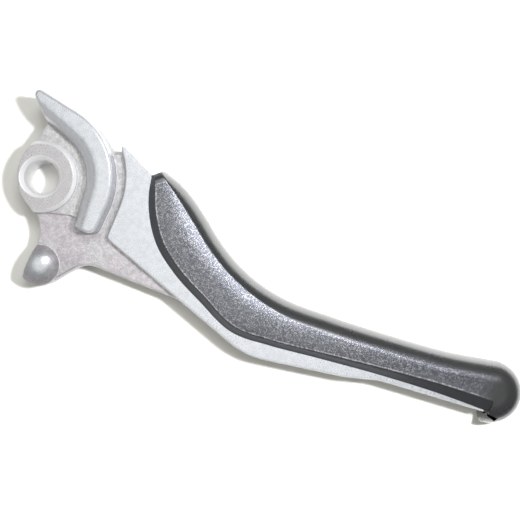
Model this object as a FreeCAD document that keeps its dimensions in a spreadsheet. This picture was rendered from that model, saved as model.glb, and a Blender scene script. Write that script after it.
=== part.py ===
"""Hydraulic brake lever for a handlebar: one die-cast lever with a moulded grip cover on its finger side.

Frame: the origin is the middle of the pivot bore, +Z runs along the bore, and +X points from the pivot to
the ball end of the blade. The handlebar is on the -Y side of the blade and the fingers are on the +Y side.
"""
import FreeCAD, Part
import math
import os
import re
from collections import namedtuple

import Sketcher
from FreeCAD import Vector

# Driving dimensions in millimetres and degrees: name, value, meaning
SIZES = [
    ("bore_diameter", 10.0, "pivot bore"),
    ("bore_chamfer", 1.0, "chamfer at both mouths of the pivot bore"),
    ("hub_thickness", 11.0, "hub from boss face to boss face"),
    ("boss_diameter", 20.8, "round boss about the pivot bore"),
    ("boss_chamfer", 0.9, "chamfer of the boss rims"),
    ("hub_web_top", 3.8, "web between the boss and the guard, top above the middle of the bore"),
    ("hub_step_x", 12.1, "corner of the hub web beside the guard's leg"),
    ("hub_step_y", 6.5, "corner of the hub web below the pivot"),
    ("hub_step_slope", 18.8, "slope of the hub web's lower edge"),
    ("hub_back_x", 8.8, "corner of the hub's back behind the pivot"),
    ("hub_back_y", 4.5, "corner of the hub's back below the pivot"),
    ("hub_back_radius", 12.6, "rounding of the hub's back"),
    ("guard_inner_radius", 13.3, "inner wall of the guard arch about the pivot"),
    ("guard_width", 8.4, "guard arch from inner to outer wall"),
    ("guard_top", 9.0, "top of the guard arch above the middle of the bore"),
    ("guard_leg", 9.0, "end of the guard's leg below the pivot"),
    ("guard_leg_angle", 8.0, "where the guard's inner wall runs straight into its leg"),
    ("guard_horn_angle", 74.0, "where the guard's inner wall runs straight into its horn"),
    ("guard_taper_angle", 82.0, "where the guard's outer wall runs straight into its horn"),
    ("guard_slope", 4.4, "rounding of the guard's inner shoulder, towards the bore"),
    ("guard_edge", 0.9, "rounding of the guard's other top edges"),
    ("guard_corner", 2.5, "outer corner of the guard's leg in plan"),
    ("horn_foot_reach", 2.8, "foot of the horn's slanted end, outside the guard's inner wall"),
    ("horn_foot_angle", 107.8, "foot of the horn's slanted end about the pivot"),
    ("horn_tip_reach", 4.9, "tip of the horn before its corner is rounded, outside the guard's outer wall"),
    ("horn_tip_angle", 119.4, "tip of the horn about the pivot"),
    ("horn_corner", 1.4, "rounding of the horn's tip in plan"),
    ("groove_width", 2.4, "groove between the guard arch and the plate"),
    ("notch_angle", 43.0, "where the groove opens through the outline"),
    ("arm_top", 2.8, "lower web and actuator arm, top above the middle of the bore"),
    ("arm_bottom", 3.5, "webs, plate and blade, underside below the middle of the bore"),
    ("arm_bevel", 0.6, "bevel of the lower web's and the arm's edges"),
    ("arm_corner_y", 12.2, "inside corner between hub and arm, below the pivot"),
    ("arm_fillet", 10.0, "rounding of that inside corner"),
    ("contact_x", 6.7, "contact face that pushes the piston"),
    ("nose_x", 9.7, "centre of the actuator nose"),
    ("nose_y", 23.6, "centre of the actuator nose below the pivot"),
    ("nose_radius", 6.0, "actuator nose in plan"),
    ("nose_turn", 55.0, "angle between the nose's end and the arm's edge"),
    ("nose_crown", 2.4, "height of the nose's domed top"),
    ("nose_corner", 2.6, "corner of the contact face and the nose"),
    ("throat_x", 21.4, "inside corner between arm and blade"),
    ("throat_y", 17.4, "inside corner between arm and blade, below the pivot"),
    ("throat_radius", 8.0, "rounding of that inside corner"),
    ("web_end_x", 54.5, "where the lower web's edge runs out under the strip"),
    ("web_end_y", 15.5, "lower web's edge there, below the pivot"),
    ("web_lap", 1.5, "overlap of the webs with the walls that stand on them"),
    ("plate_top", 5.0, "plate and bare strip, top above the middle of the bore"),
    ("plate_apex_reach", 0.9, "apex of the triangular plate outside its hollow edge's circle"),
    ("plate_apex_angle", 48.4, "apex of the triangular plate about the pivot"),
    ("plate_apex_radius", 0.5, "rounding of the apex"),
    ("plate_low_angle", 2.0, "where the plate's hollow edge runs straight to its corner"),
    ("plate_high_angle", 40.0, "where the plate's hollow edge runs straight to its apex"),
    ("plate_corner_reach", 0.4, "corner of the plate beside the guard's leg, outside that circle"),
    ("plate_corner_y", 8.2, "corner of the plate below the pivot"),
    ("plate_corner_radius", 1.8, "rounding of that corner"),
    ("plate_brow", 5.0, "plate's upper edge from the finger side, at the cover's second section"),
    ("elbow_x", 75.5, "elbow of the bare strip"),
    ("elbow_y", 22.1, "elbow of the bare strip below the pivot"),
    ("elbow_radius", 24.0, "rounding of the elbow"),
    ("waist_step", 29.0, "first bend of the bare strip, along from the elbow"),
    ("waist_rise", 6.7, "first bend of the bare strip, above the elbow"),
    ("neck_step", 9.3, "second bend of the bare strip, along from the first"),
    ("neck_rise", 3.3, "second bend of the bare strip, above the first"),
    ("waist_radius", 9.0, "rounding of both bends"),
    ("strip_setback", 0.2, "end of the bare strip before the centre of the ball end"),
    ("strip_inset", 3.3, "end of the bare strip inside the ball end's rim"),
    ("strip_bevel", 0.45, "bevel of the plate's and the strip's edges"),
    ("core_setback", 1.5, "end of the blade's core before the centre of the ball end"),
    ("cover_wall", 3.0, "cover's wall on the finger side of the blade's core"),
    ("cover_rise", 2.0, "cover's face above the bare strip"),
    ("cover_floor", 2.0, "cover's underside below the blade"),
    ("cover_crown", 34.0, "radius of the cover's face across the blade"),
    ("cover_gap", 0.05, "seam between the cover and the casting"),
    ("ball_step", 16.0, "centre of the ball end, along from the cover's last section"),
    ("ball_y", 1.5, "centre of the ball end below the pivot"),
    ("ball_radius", 9.3, "ball end in plan"),
    ("ball_heading", 8.3, "slope of the blade at the ball end"),
    ("shoulder_inset", 3.9, "cover's bar side inside the ball end's rim"),
    ("shoulder_bevel", 2.6, "bevel of the cover's bar side at the ball end"),
    ("window_length", 4.2, "three-cornered window in the ball end, from the strip's end"),
    ("window_width", 1.3, "window at its wide end"),
]

# Cross-sections of the cover along the blade: step along the blade from the last one (from the pivot for the
# first), finger side's height above the pivot, width to the bar side, heading square to the blade, rounding
# of the finger side and bevel of the bar side. The ball end has its own section.
STATIONS = [
    (32.0, 16.8, 4.2, 44.0, 1.2, 1.0),
    (5.7, 15.2, 9.5, 38.6, 3.0, 2.0),
    (5.1, 12.8, 13.6, 45.0, 3.5, 2.2),
    (5.5, 9.4, 16.2, 53.3, 3.6, 2.2),
    (6.1, 5.3, 16.2, 60.7, 3.6, 2.1),
    (7.5, 1.4, 15.5, 71.6, 3.6, 2.0),
    (8.8, -1.3, 16.2, 84.7, 3.8, 1.9),
    (7.8, -2.25, 14.2, 96.0, 4.2, 1.7),
    (15.0, -1.2, 12.5, 98.0, 4.8, 1.6),
    (18.8, 1.2, 11.7, 98.5, 5.1, 1.6),
    (16.9, 3.95, 12.2, 98.5, 5.5, 1.9),
]
STATION_SIZES = ("step", "finger", "width", "heading", "round", "bevel")

# Values that follow from the driving dimensions
GUARD_OUTER = "(guard_inner_radius + guard_width)"
PLATE_RADIUS = "(guard_inner_radius + guard_width + groove_width)"
HORN_FOOT_X = "((guard_inner_radius + horn_foot_reach) * cos(horn_foot_angle))"
HORN_FOOT_Y = "((guard_inner_radius + horn_foot_reach) * sin(horn_foot_angle))"
HORN_TIP_X = f"(({GUARD_OUTER} + horn_tip_reach) * cos(horn_tip_angle))"
HORN_TIP_Y = f"(({GUARD_OUTER} + horn_tip_reach) * sin(horn_tip_angle))"
PLATE_CORNER_X = f"({PLATE_RADIUS} + plate_corner_reach)"
COVER_TOP = "(plate_top + cover_rise)"
COVER_BOTTOM = "(arm_bottom + cover_floor)"
COVER_HALF = f"(({COVER_TOP} + {COVER_BOTTOM}) / 2)"
COVER_MIDDLE = f"(({COVER_TOP} - {COVER_BOTTOM}) / 2)"
BALL_X = "(" + " + ".join(f"station_{number}_step" for number in range(len(STATIONS))) + " + ball_step)"
SHOULDER = "(ball_radius - shoulder_inset)"
STRIP_END_X = f"({BALL_X} - strip_setback)"
STRIP_END_Y = "(ball_y + ball_radius - strip_inset)"
WAIST_X = "(elbow_x + waist_step)"
WAIST_Y = "(elbow_y - waist_rise)"
BEHIND = "(-2 * hub_back_x)"
FAR = "(2 * (nose_y + nose_radius))"

Corner = namedtuple("Corner", "x y round arc", defaults=(None, None))

doc = FreeCAD.newDocument("brake_lever")


def cell_sizes():
    """Every named size with its value and meaning, the cover's stations included."""
    rows = list(SIZES)
    for number, station in enumerate(STATIONS):
        for size, value in zip(STATION_SIZES, station):
            rows.append((f"station_{number}_{size}", value, f"cover section {number}, {size}"))
    return rows


def make_sheet():
    """The spreadsheet that holds the driving dimensions."""
    made = doc.addObject("Spreadsheet::Sheet", "sizes")
    for row, (name, value, meaning) in enumerate(cell_sizes(), start=1):
        made.set(f"A{row}", meaning)
        made.set(f"B{row}", str(value))
        made.setAlias(f"B{row}", name)
    doc.recompute()
    return made


sheet = make_sheet()
NAMES = {name for name, _, _ in cell_sizes()}


def bound(expression):
    """The expression with each size name pointed at its cell."""
    return re.sub(r"[a-z]\w*", lambda word: f"sizes.{word[0]}" if word[0] in NAMES else word[0], expression)


def value(expression):
    """The expression's present value as a plain number."""
    found = sheet.evalExpression(bound(expression))
    return float(getattr(found, "Value", found))


def new_sketch(body, name, plane="XY_Plane", x=None, y=None, heading=None):
    """A sketch on one of the body's planes. An upright one may stand at a plan point, turned by a heading."""
    sketch = body.newObject("Sketcher::SketchObject", name)
    support = next(feature for feature in body.Origin.OriginFeatures if feature.Role == plane)
    sketch.AttachmentSupport = [(support, "")]
    sketch.MapMode = "FlatFace"
    if x is not None:
        sketch.AttachmentOffset = FreeCAD.Placement(Vector(), FreeCAD.Rotation(Vector(0, 1, 0), 1))
        sketch.setExpression("AttachmentOffset.Base.x", bound(x))
        sketch.setExpression("AttachmentOffset.Base.z", bound(f"-({y})"))
        sketch.setExpression("AttachmentOffset.Rotation.Angle", bound(heading or "0"))
    return sketch


def bind(sketch, constraint, expression):
    """Add a constraint whose size follows the expression."""
    index = sketch.addConstraint(constraint)
    sketch.setExpression(f"Constraints[{index}]", bound(expression))


def pin(sketch, geometry, end, x, y):
    """Hold a point of the sketch at x and y, on an axis where one of them is zero."""
    for kind, axis, place in (("DistanceX", -2, x), ("DistanceY", -1, y)):
        if place == "0":
            sketch.addConstraint(Sketcher.Constraint("PointOnObject", geometry, end, axis))
        else:
            bind(sketch, Sketcher.Constraint(kind, -1, 1, geometry, end, value(place)), place)


def arc_between(start, stop, radius, left):
    """The shorter arc from start to stop that turns left or right."""
    chord = stop - start
    half = chord.Length / 2
    side = Vector(-chord.y, chord.x, 0).normalize() * (1 if left else -1)
    centre = (start + stop) / 2 + side * math.sqrt(max(radius * radius - half * half, 0))
    first, last = (start, stop) if left else (stop, start)
    angles = [math.atan2(point.y - centre.y, point.x - centre.x) for point in (first, last)]
    return Part.ArcOfCircle(Part.Circle(centre, Vector(0, 0, 1), radius), *angles)


def outline(sketch, corners):
    """Close a loop of lines through the corners, each held at its x and y.

    A corner with a round has a tangent arc of that radius in place of its point. A corner with an arc goes on
    to the next corner along an arc of that radius, to the left, or to the right where it starts with -.
    """
    places = [Vector(value(corner.x), value(corner.y), 0) for corner in corners]
    count = len(corners)
    starts, stops, rounds = list(places), list(places), {}
    for i, corner in enumerate(corners):
        if corner.round:
            back = (places[i - 1] - places[i]).normalize()
            ahead = (places[(i + 1) % count] - places[i]).normalize()
            tangent = value(corner.round) / math.tan(back.getAngle(ahead) / 2)
            stops[i], starts[i] = places[i] + back * tangent, places[i] + ahead * tangent
            rounds[i] = back.cross(ahead).z < 0
    runs = []
    for i, corner in enumerate(corners):
        start, stop = starts[i], stops[(i + 1) % count]
        if corner.arc:
            left = not corner.arc.startswith("-")
            radius = corner.arc.lstrip("-")
            index = sketch.addGeometry(arc_between(start, stop, value(radius), left))
            bind(sketch, Sketcher.Constraint("Radius", index, value(radius)), radius)
            runs.append((index, 1, 2) if left else (index, 2, 1))
        else:
            runs.append((sketch.addGeometry(Part.LineSegment(start, stop)), 1, 2))
    for i, corner in enumerate(corners):
        last, _, last_end = runs[i - 1]
        following, following_start, _ = runs[i]
        if i not in rounds:
            meeting = Sketcher.Constraint("Coincident", last, last_end, following, following_start)
            sketch.addConstraint(meeting)
            pin(sketch, following, following_start, corner.x, corner.y)
            continue
        left, radius = rounds[i], corner.round
        arc = sketch.addGeometry(arc_between(stops[i], starts[i], value(radius), left))
        arc_start, arc_end = (1, 2) if left else (2, 1)
        sketch.addConstraint(Sketcher.Constraint("Tangent", last, last_end, arc, arc_start))
        sketch.addConstraint(Sketcher.Constraint("Tangent", arc, arc_end, following, following_start))
        bind(sketch, Sketcher.Constraint("Radius", arc, value(radius)), radius)
        point = sketch.addGeometry(Part.Point(places[i]), True)
        sketch.addConstraint(Sketcher.Constraint("PointOnObject", point, 1, last))
        sketch.addConstraint(Sketcher.Constraint("PointOnObject", point, 1, following))
        pin(sketch, point, 1, corner.x, corner.y)
    return sketch


def circle(sketch, diameter):
    """A circle about the sketch's origin."""
    index = sketch.addGeometry(Part.Circle(Vector(), Vector(0, 0, 1), value(diameter) / 2))
    sketch.addConstraint(Sketcher.Constraint("Coincident", index, 3, -1, 1))
    bind(sketch, Sketcher.Constraint("Diameter", index, value(diameter)), diameter)
    return sketch


def extrude(body, kind, name, sketch, above, below):
    """Pad or pocket a sketch from the middle plane, upwards and downwards."""
    feature = body.newObject(f"PartDesign::{kind}", name)
    feature.Profile = sketch
    feature.SideType = "Two sides"
    up, down = ("Length", "Length2") if kind == "Pad" else ("Length2", "Length")
    feature.setExpression(up, bound(above))
    feature.setExpression(down, bound(below))
    return feature


def settle():
    """Recompute, and stop if an object of the document did not build."""
    doc.recompute()
    for item in doc.Objects:
        if "Invalid" in item.State or "Error" in item.State:
            raise RuntimeError(f"{item.Name} did not build: {item.getStatusString()}")


def dress(body, kind, name, size, wanted):
    """Fillet or chamfer the edges of the body's tip for which wanted is true."""
    settle()
    base = body.Tip
    edges = [f"Edge{i}" for i, edge in enumerate(base.Shape.Edges, start=1) if wanted(edge)]
    if not edges:
        raise ValueError(f"{name}: no edge to work on")
    feature = body.newObject(f"PartDesign::{kind}", name)
    feature.Base = (base, edges)
    feature.setExpression("Radius" if kind == "Fillet" else "Size", bound(size))
    return feature


def level(edge, height):
    """True for an edge that lies at this height."""
    box = edge.BoundBox
    return abs(box.ZMin - height) < 1e-4 and abs(box.ZMax - height) < 1e-4


def on_wall(body, edge):
    """True for an edge with a wall straight below it."""
    below = edge.valueAt((edge.FirstParameter + edge.LastParameter) / 2) - Vector(0, 0, 0.1)
    return not body.Tip.Shape.isInside(below, 1e-3, False)


def polar(radius, angle):
    """The corner's x and y at a radius and an angle about the pivot."""
    return f"{radius} * cos({angle})", f"{radius} * sin({angle})"


def tangent_corner(radius, low, high):
    """Where the tangents at two angles of a circle about the pivot meet, rounded by that circle."""
    reach = f"{radius} / cos(({high} - {low}) / 2)"
    return Corner(*polar(reach, f"(({high} + {low}) / 2)"), round=radius)


def plate_apex():
    """The apex of the triangular plate, before it is rounded."""
    return polar(f"({PLATE_RADIUS} + plate_apex_reach)", "plate_apex_angle")


def station_point(number, inset="0"):
    """The finger side at one of the cover's sections, moved into the cover by the inset."""
    along = " + ".join(f"station_{i}_step" for i in range(number + 1))
    heading = f"station_{number}_heading"
    return (f"{along} - ({inset}) * cos({heading})",
            f"station_{number}_finger - ({inset}) * sin({heading})")


def core_corners(wall):
    """The finger side of the blade's core inside the cover, from the ball end to the plate's upper edge."""
    end = Corner(f"{BALL_X} - core_setback", f"ball_radius - ball_y - 2 * ({wall})")
    side = [Corner(*station_point(number, wall)) for number in range(len(STATIONS) - 1, 0, -1)]
    return [end, *side, Corner(*station_point(1, f"plate_brow + {wall} - cover_wall"))]


def hub_and_arm(body):
    """The hub's web, the lower web with the actuator arm, and the round boss."""
    guard_middle = "(guard_inner_radius + guard_width / 2)"
    web = [
        Corner("contact_x", "-nose_y - nose_radius", round="nose_corner"),
        Corner("nose_x + nose_radius * tan(nose_turn / 2)", "-nose_y - nose_radius", round="nose_radius"),
        Corner("throat_x", "-throat_y", round="throat_radius"),
        Corner("web_end_x", "-web_end_y"),
        Corner("web_end_x", "-web_end_y + 2 * web_lap"),
        Corner(f"{PLATE_CORNER_X} + 2 * web_lap", "0"),
        Corner(*polar(f"({PLATE_RADIUS} + web_lap)", "notch_angle / 2")),
        Corner(*polar(f"({PLATE_RADIUS} + web_lap)", "notch_angle")),
        Corner(*polar(f"({GUARD_OUTER} - web_lap)", "notch_angle")),
        Corner(*polar(guard_middle, "guard_horn_angle")),
        Corner(BEHIND, f"{HORN_FOOT_Y} + web_lap"),
        Corner(BEHIND, "-guard_leg"),
        Corner("contact_x", "-nose_y"),
    ]
    web_outline = outline(new_sketch(body, "lower_web_outline"), web)
    extrude(body, "Pad", "lower_web", web_outline, "arm_top", "arm_bottom")
    dress(body, "Chamfer", "lower_web_rim", "arm_bevel", lambda edge: level(edge, value("arm_top")))
    dress(body, "Chamfer", "lower_web_foot", "arm_bevel", lambda edge: level(edge, -value("arm_bottom")))
    hub = [
        Corner(BEHIND, f"-hub_step_y - (hub_step_x - {BEHIND}) * tan(hub_step_slope)"),
        Corner("hub_step_x", "-hub_step_y"),
        Corner(guard_middle, "-hub_step_y"),
        Corner(*polar(guard_middle, "guard_leg_angle")),
        Corner(*polar(guard_middle, "guard_horn_angle")),
        Corner(BEHIND, f"{HORN_FOOT_Y} + web_lap"),
    ]
    hub_outline = outline(new_sketch(body, "hub_web_outline"), hub)
    extrude(body, "Pad", "hub_web", hub_outline, "hub_web_top", "arm_bottom")
    half_hub = "hub_thickness / 2"
    boss = circle(new_sketch(body, "boss_outline"), "boss_diameter")
    extrude(body, "Pad", "boss", boss, half_hub, half_hub)
    dress(body, "Chamfer", "boss_rims", "boss_chamfer",
          lambda edge: level(edge, value(half_hub)) or level(edge, -value(half_hub)))


def guard(body):
    """The raised guard arch about the pivot, with a slanted horn and a straight leg."""
    corners = [
        Corner(HORN_FOOT_X, HORN_FOOT_Y),
        tangent_corner("guard_inner_radius", "guard_leg_angle", "guard_horn_angle"),
        Corner("guard_inner_radius / cos(guard_leg_angle) + guard_leg * tan(guard_leg_angle)", "-guard_leg"),
        Corner(GUARD_OUTER, "-guard_leg", round="guard_corner"),
        tangent_corner(GUARD_OUTER, "0", "guard_taper_angle"),
        Corner(HORN_TIP_X, HORN_TIP_Y, round="horn_corner"),
    ]
    extrude(body, "Pad", "guard", outline(new_sketch(body, "guard_outline"), corners), "guard_top",
            "arm_bottom")
    top, middle = value("guard_top"), value("guard_inner_radius + guard_width / 2")
    dress(body, "Fillet", "guard_shoulder", "guard_slope",
          lambda edge: level(edge, top) and edge.CenterOfMass.distanceToPoint(Vector(0, 0, top)) < middle)
    dress(body, "Fillet", "guard_rim", "guard_edge", lambda edge: level(edge, top) and on_wall(body, edge))


def plate_and_blade(body):
    """The triangular plate, the bare strip along the bar side and the core under the cover, one thickness."""
    corners = [
        Corner(*plate_apex(), round="plate_apex_radius"),
        tangent_corner(PLATE_RADIUS, "plate_low_angle", "plate_high_angle"),
        Corner(PLATE_CORNER_X, "-plate_corner_y", round="plate_corner_radius"),
        Corner("elbow_x", "-elbow_y", round="elbow_radius"),
        Corner(WAIST_X, f"-{WAIST_Y}", round="waist_radius"),
        Corner(f"{WAIST_X} + neck_step", f"neck_rise - {WAIST_Y}", round="waist_radius"),
        Corner(STRIP_END_X, f"-{STRIP_END_Y}"),
        *core_corners("cover_wall"),
    ]
    blade_outline = outline(new_sketch(body, "blade_outline"), corners)
    extrude(body, "Pad", "blade", blade_outline, "plate_top", "arm_bottom")
    dress(body, "Chamfer", "plate_rim", "strip_bevel", lambda edge: level(edge, value("plate_top")))


def nose(body):
    """The domed top of the actuator nose."""
    sketch = new_sketch(body, "nose_profile", "XZ_Plane", "nose_x", "-nose_y")
    crown = "((nose_radius * nose_radius + nose_crown * nose_crown) / (2 * nose_crown))"
    outline(sketch, [
        Corner("0", "0"),
        Corner("nose_radius", "0"),
        Corner("nose_radius", "arm_top", arc=crown),
        Corner("0", "arm_top + nose_crown"),
    ])
    dome = body.newObject("PartDesign::Revolution", "nose_dome")
    dome.Profile = sketch
    dome.ReferenceAxis = (sketch, ["V_Axis"])
    dome.Angle = 360


def hub_back(body):
    """Cut the back of the hub, from the horn's slanted end round the boss to the contact face."""
    beyond_tip = f"({HORN_FOOT_Y} + 2 * ({HORN_TIP_Y} - {HORN_FOOT_Y}))"
    corners = [
        Corner(f"{HORN_FOOT_X} + 2 * ({HORN_TIP_X} - {HORN_FOOT_X})", beyond_tip),
        Corner(HORN_FOOT_X, HORN_FOOT_Y),
        Corner("-hub_back_x", "-hub_back_y", round="hub_back_radius"),
        Corner("contact_x", "-arm_corner_y", round="arm_fillet"),
        Corner("contact_x", f"-{FAR}"),
        Corner(f"-{FAR}", f"-{FAR}"),
        Corner(f"-{FAR}", beyond_tip),
    ]
    extrude(body, "Pocket", "back_cut", outline(new_sketch(body, "back_outline"), corners), FAR, FAR)


def bore(body):
    """The pivot bore with a chamfer at both mouths."""
    extrude(body, "Pocket", "pivot_bore", circle(new_sketch(body, "bore_outline"), "bore_diameter"), FAR, FAR)
    half_hub = value("hub_thickness") / 2
    diameter = value("bore_diameter")

    def mouth(edge):
        rim = level(edge, half_hub) or level(edge, -half_hub)
        return rim and abs(edge.BoundBox.XLength - diameter) < 1e-3

    dress(body, "Chamfer", "bore_mouths", "bore_chamfer", mouth)


def lever_casting():
    """The die-cast lever: hub, guard, plate, actuator arm and blade in one piece."""
    body = doc.addObject("PartDesign::Body", "lever_casting")
    hub_and_arm(body)
    plate_and_blade(body)
    guard(body)
    nose(body)
    hub_back(body)
    bore(body)
    return body


def station_section(body, number):
    """One cross-section of the cover: bevelled bar side, crowned face, round finger side, flat underside."""
    width, heading, rounding, bevel = (f"station_{number}_{size}" for size in STATION_SIZES[2:])
    sketch = new_sketch(body, f"section_{number}", "XZ_Plane", *station_point(number), heading)
    finger = f"(({COVER_HALF} * {COVER_HALF} + {rounding} * {rounding}) / (2 * {rounding}))"
    return outline(sketch, [
        Corner(f"-{width}", "-arm_bottom"),
        Corner(f"-{width} + {bevel}", f"-{COVER_BOTTOM}"),
        Corner(f"-{rounding}", f"-{COVER_BOTTOM}", arc=finger),
        Corner("0", COVER_MIDDLE, arc=finger),
        Corner(f"-{rounding}", COVER_TOP, arc="cover_crown"),
        Corner(f"-{width} + {bevel}", COVER_TOP),
        Corner(f"-{width}", "plate_top"),
    ])


def ball_section(body):
    """The last cross-section, through the centre of the ball end."""
    sketch = new_sketch(body, "section_ball", "XZ_Plane", BALL_X, "-ball_y", "90 + ball_heading")
    flat = f"ball_radius - {COVER_HALF}"
    return outline(sketch, [
        Corner(f"-{SHOULDER}", "-arm_bottom"),
        Corner(f"-{SHOULDER} + shoulder_bevel", f"-{COVER_BOTTOM}"),
        Corner(flat, f"-{COVER_BOTTOM}", arc=COVER_HALF),
        Corner("ball_radius", COVER_MIDDLE, arc=COVER_HALF),
        Corner(flat, COVER_TOP),
        Corner(f"-{SHOULDER} + shoulder_bevel", COVER_TOP),
        Corner(f"-{SHOULDER}", "plate_top"),
    ])


def ball_end(body):
    """The full-round end of the cover, half a turn about an upright axis."""
    sketch = new_sketch(body, "ball_profile", "XZ_Plane", BALL_X, "-ball_y", "90 + ball_heading")
    flat = f"ball_radius - {COVER_HALF}"
    outline(sketch, [
        Corner("0", f"-{COVER_BOTTOM}"),
        Corner(flat, f"-{COVER_BOTTOM}", arc=COVER_HALF),
        Corner("ball_radius", COVER_MIDDLE, arc=COVER_HALF),
        Corner(flat, COVER_TOP),
        Corner("0", COVER_TOP),
    ])
    ball = body.newObject("PartDesign::Revolution", "ball_end")
    ball.Profile = sketch
    ball.ReferenceAxis = (sketch, ["V_Axis"])
    ball.Angle = 180
    ball.Reversed = True


def core_slot(body):
    """The slot in the cover for the blade's core, open on the bar side, in line with the strip's end."""
    side = core_corners("(cover_wall - cover_gap)")
    end = side[0]
    apex_x, apex_y = plate_apex()
    run = f"({FAR} / ({STRIP_END_Y} + {end.y}))"
    corners = [
        Corner(apex_x, f"-{FAR}"),
        Corner(f"{STRIP_END_X} + cover_gap + ({STRIP_END_X} - ({end.x})) * {run}", f"-{STRIP_END_Y} - {FAR}"),
        Corner(f"{end.x} + cover_gap", end.y),
        *side[1:],
        Corner(apex_x, f"{apex_y} + cover_gap"),
    ]
    extrude(body, "Pocket", "core_slot", outline(new_sketch(body, "core_slot_outline"), corners),
            "plate_top + cover_gap", "arm_bottom + cover_gap")


def window(body):
    """The three-cornered window in the ball end beside the end of the bare strip."""
    wide_end = f"{STRIP_END_X} + window_length"
    corners = [
        Corner(f"{STRIP_END_X} - window_width", f"-{STRIP_END_Y}"),
        Corner(wide_end, f"-{STRIP_END_Y} - window_width"),
        Corner(wide_end, f"-{STRIP_END_Y}"),
    ]
    extrude(body, "Pocket", "window", outline(new_sketch(body, "window_outline"), corners), FAR, "arm_bottom")


def grip_cover():
    """The moulded cover over the face, the underside and the finger side of the blade, with the ball end."""
    body = doc.addObject("PartDesign::Body", "grip_cover")
    sections = [station_section(body, number) for number in range(len(STATIONS))]
    sections.append(ball_section(body))
    loft = body.newObject("PartDesign::AdditiveLoft", "cover_blank")
    loft.Profile = sections[0]
    loft.Sections = sections[1:]
    ball_end(body)
    core_slot(body)
    window(body)
    return body


def check(parts):
    """Stop unless every object is built and every sub-part is one valid solid."""
    settle()
    for part in parts:
        if part.Shape.isNull() or not part.Shape.isValid() or len(part.Shape.Solids) != 1:
            raise RuntimeError(f"{part.Label} is not one valid solid")


def main():
    """Build the two sub-parts and write one STEP file for each."""
    parts = [lever_casting(), grip_cover()]
    check(parts)
    os.makedirs("parts", exist_ok=True)
    for part in parts:
        part.Shape.exportStep(f"parts/{part.Label}.step")
        box = part.Shape.BoundBox
        print(part.Label, f"volume {part.Shape.Volume:.0f} mm3", box)


main()
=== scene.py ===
"""Finishes a cast brake lever with its moulded grip cover and lays it on a sheet of paper.

The frame gives the casting; the cover is a surface worked out here from the blade's cross-sections. Metres,
in the part's own frame: the origin is the pivot, +Z runs along the pivot bore and +X towards the ball end.
"""

import math

import bmesh
import bpy
import numpy as np
from bpy.props import FloatProperty, FloatVectorProperty, PointerProperty
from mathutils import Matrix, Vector


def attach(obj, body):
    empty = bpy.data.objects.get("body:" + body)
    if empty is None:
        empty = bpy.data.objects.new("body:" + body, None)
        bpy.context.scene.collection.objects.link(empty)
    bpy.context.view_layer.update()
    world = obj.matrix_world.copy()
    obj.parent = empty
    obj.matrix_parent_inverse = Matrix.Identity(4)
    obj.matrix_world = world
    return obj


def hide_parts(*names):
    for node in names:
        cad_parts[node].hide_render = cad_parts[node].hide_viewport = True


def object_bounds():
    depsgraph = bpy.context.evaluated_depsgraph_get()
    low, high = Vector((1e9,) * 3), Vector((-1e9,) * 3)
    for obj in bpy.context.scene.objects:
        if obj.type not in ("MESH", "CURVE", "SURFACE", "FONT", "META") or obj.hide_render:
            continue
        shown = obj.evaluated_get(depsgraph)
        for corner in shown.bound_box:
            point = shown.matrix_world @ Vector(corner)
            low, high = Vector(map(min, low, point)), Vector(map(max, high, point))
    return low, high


bl_info = {
    "name": "Brake Lever",
    "version": (1, 0, 0),
    "blender": (4, 5, 0),
    "location": "View3D > Sidebar > Lever",
    "description": "Finishes a cast brake lever and its moulded grip cover",
    "category": "Object",
}

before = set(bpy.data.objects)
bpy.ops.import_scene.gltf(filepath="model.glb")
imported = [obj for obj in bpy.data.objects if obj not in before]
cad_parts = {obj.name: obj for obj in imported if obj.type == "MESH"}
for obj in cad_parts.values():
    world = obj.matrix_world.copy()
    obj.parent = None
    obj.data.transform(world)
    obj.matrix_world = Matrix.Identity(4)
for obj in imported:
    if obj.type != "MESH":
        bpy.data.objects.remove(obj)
CAD_BOX = [list(corner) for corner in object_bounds()]
PAPER_LEVEL = CAD_BOX[0][2]
MM = 0.001

# Cross-sections of the cover along the blade, as in the part's source apart from the last three bevels,
# which are wider here: step along X from the last one (from the pivot for the first), Y of the finger side,
# width to the bar side, heading in degrees, rounding of the finger side and bevel of the bar side.
SECTIONS = (
    (0.0320, 0.0168, 0.0042, 44.0, 0.0012, 0.0010),
    (0.0057, 0.0152, 0.0095, 38.6, 0.0030, 0.0020),
    (0.0051, 0.0128, 0.0136, 45.0, 0.0035, 0.0022),
    (0.0055, 0.0094, 0.0162, 53.3, 0.0036, 0.0022),
    (0.0061, 0.0053, 0.0162, 60.7, 0.0036, 0.0021),
    (0.0075, 0.0014, 0.0155, 71.6, 0.0036, 0.0020),
    (0.0088, -0.0013, 0.0162, 84.7, 0.0038, 0.0019),
    (0.0078, -0.00225, 0.0142, 96.0, 0.0042, 0.0017),
    (0.0150, -0.0012, 0.0125, 98.0, 0.0048, 0.0018),
    (0.0188, 0.0012, 0.0117, 98.5, 0.0051, 0.0022),
    (0.0169, 0.00395, 0.0122, 98.5, 0.0055, 0.0028),
)


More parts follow.
